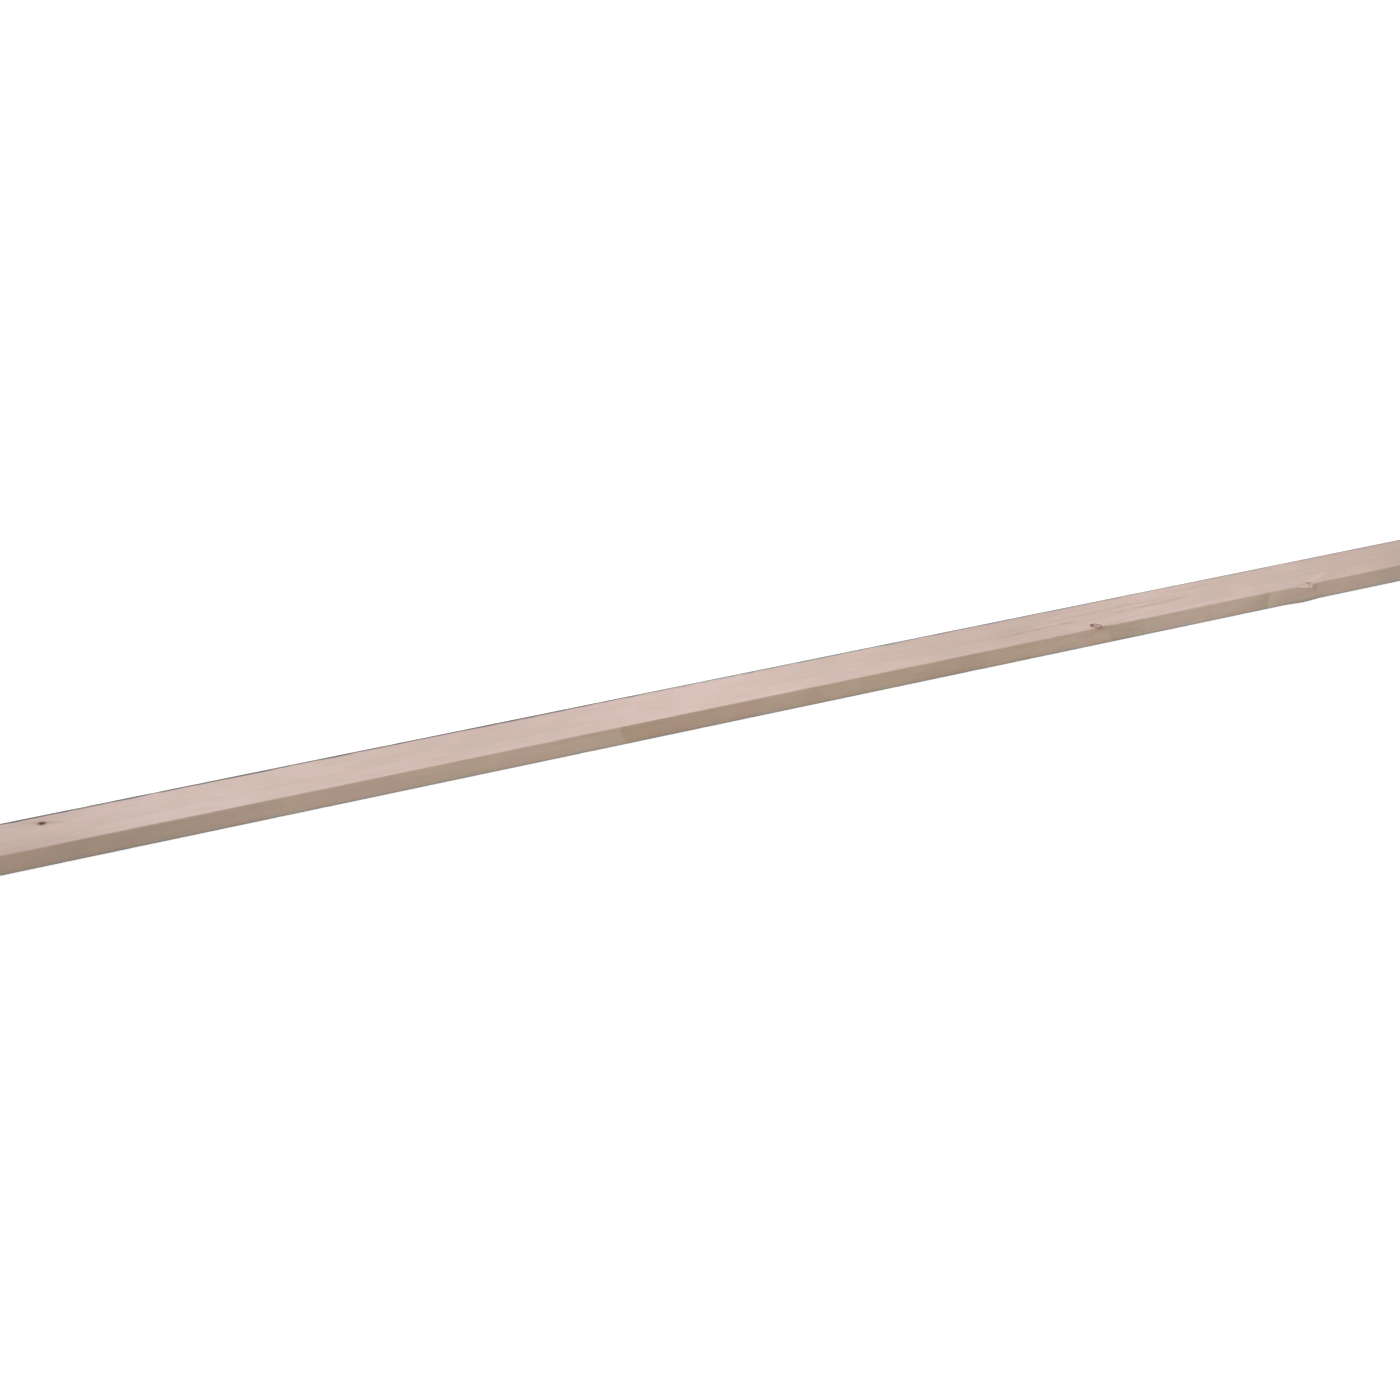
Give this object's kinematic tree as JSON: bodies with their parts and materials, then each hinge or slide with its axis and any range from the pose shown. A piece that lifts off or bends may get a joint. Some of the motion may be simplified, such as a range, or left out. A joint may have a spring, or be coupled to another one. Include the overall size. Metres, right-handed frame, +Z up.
{
  "type": "timber plank",
  "caption": "Long planed softwood plank with eased arrises, an edge knot and a torn arris, used as framing or boarding stock.",
  "frame": {"origin": "middle of the underside of the plank, on the surface that it lies on", "axes": "+X along the length, +Y across the width away from the front edge, +Z up through the thickness"},
  "size_m": [3, 0.092, 0.038],
  "materials": {
    "whitewood": "planed, unfinished"
  },
  "bodies": {
    "root": {"plank": "whitewood"}
  },
  "joints": []
}
